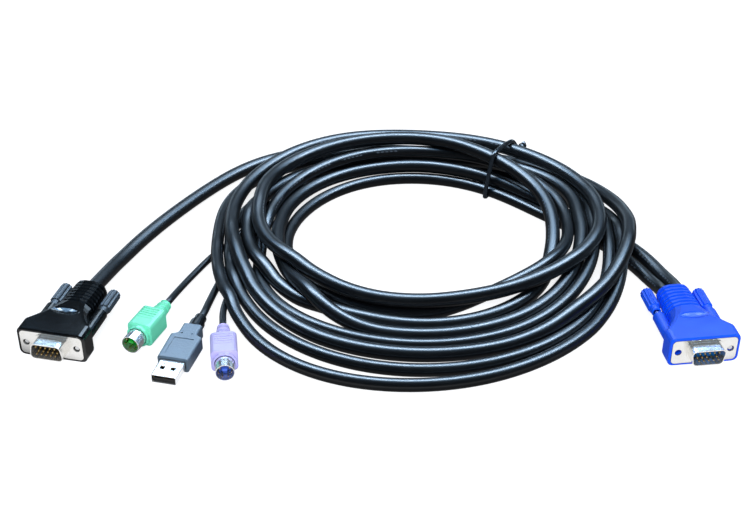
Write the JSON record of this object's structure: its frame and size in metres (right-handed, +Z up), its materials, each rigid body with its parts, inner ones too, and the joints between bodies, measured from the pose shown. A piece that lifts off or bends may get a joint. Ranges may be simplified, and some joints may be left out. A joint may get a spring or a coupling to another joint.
{
  "type": "kvm cable",
  "caption": "Coiled and tied cable pair that carries keyboard, video and mouse signals, with video plugs at both ends and round and flat data plugs on thin leads.",
  "frame": {"origin": "on the table, under the middle of the outline of the plugs, splitter and tie", "axes": "+X to the right along the row of plugs, +Y away from the plugs towards the back of the coil, +Z up"},
  "size_m": [0.3336, 0.2229, 0.0316],
  "materials": {
    "black_moulding": "satin moulded",
    "knob_plastic": "satin moulded",
    "blue_moulding": "satin moulded",
    "nickel": "bright plated steel",
    "black_insert": "matt",
    "blue_insert": "matt",
    "screw_steel": "plated",
    "gold": "gold plated",
    "green_moulding": "satin moulded",
    "green_core": "matt",
    "purple_moulding": "satin moulded",
    "purple_core": "matt",
    "grey_moulding": "satin moulded",
    "cable_jacket": "glossy soft jacket",
    "tie_coating": "glossy coating"
  },
  "bodies": {
    "cable": {"black_hood": "black_moulding", "black_pin_insert": "black_insert", "black_steel_front": "nickel", "blue_hood": "blue_moulding", "blue_pin_insert": "blue_insert", "blue_steel_front": "nickel", "cable_coil": "cable_jacket", "data_body": "grey_moulding", "data_boot": "cable_jacket", "data_cable_blue_end": "cable_jacket", "data_contact_1": "gold", "data_contact_2": "gold", "data_contact_3": "gold", "data_contact_4": "gold", "data_lead": "cable_jacket", "data_shell": "nickel", "data_tongue": "black_insert", "green_core": "green_core", "green_lead": "cable_jacket", "green_pin_1": "gold", "green_pin_2": "gold", "green_pin_3": "gold", "green_pin_4": "gold", "green_pin_5": "gold", "green_pin_6": "gold", "green_round_body": "green_moulding", "green_shield": "nickel", "purple_core": "purple_core", "purple_lead": "cable_jacket", "purple_pin_1": "gold", "purple_pin_2": "gold", "purple_pin_3": "gold", "purple_pin_4": "gold", "purple_pin_5": "gold", "purple_pin_6": "gold", "purple_round_body": "purple_moulding", "purple_shield": "nickel", "splitter": "cable_jacket", "video_cable_black_end": "cable_jacket", "video_cable_blue_end": "cable_jacket", "wire_tie": "tie_coating"},
    "black_left_screw": {"black_screw_left_rod": "screw_steel", "black_screw_left_knob": "knob_plastic"},
    "black_right_screw": {"black_screw_right_rod": "screw_steel", "black_screw_right_knob": "knob_plastic"},
    "blue_left_screw": {"blue_screw_left_rod": "screw_steel", "blue_screw_left_knob": "blue_moulding"},
    "blue_right_screw": {"blue_screw_right_rod": "screw_steel", "blue_screw_right_knob": "blue_moulding"}
  },
  "joints": [
    {"name": "black_left_screw_turn", "type": "hinge", "parent": "cable", "child": "black_left_screw", "pos_m": [-0.16269, -0.07393, 0.0076], "axis": [0.225, 0.9744, 0], "continuous": true},
    {"name": "black_right_screw_turn", "type": "hinge", "parent": "cable", "child": "black_right_screw", "pos_m": [-0.13834, -0.07955, 0.0076], "axis": [0.225, 0.9744, 0], "continuous": true},
    {"name": "blue_left_screw_turn", "type": "hinge", "parent": "cable", "child": "blue_left_screw", "pos_m": [0.13738, -0.079, 0.0076], "axis": [-0.1305, 0.9914, 0], "continuous": true},
    {"name": "blue_right_screw_turn", "type": "hinge", "parent": "cable", "child": "blue_right_screw", "pos_m": [0.16257, -0.07891, 0.0076], "axis": [-0.1305, 0.9914, 0], "continuous": true}
  ]
}
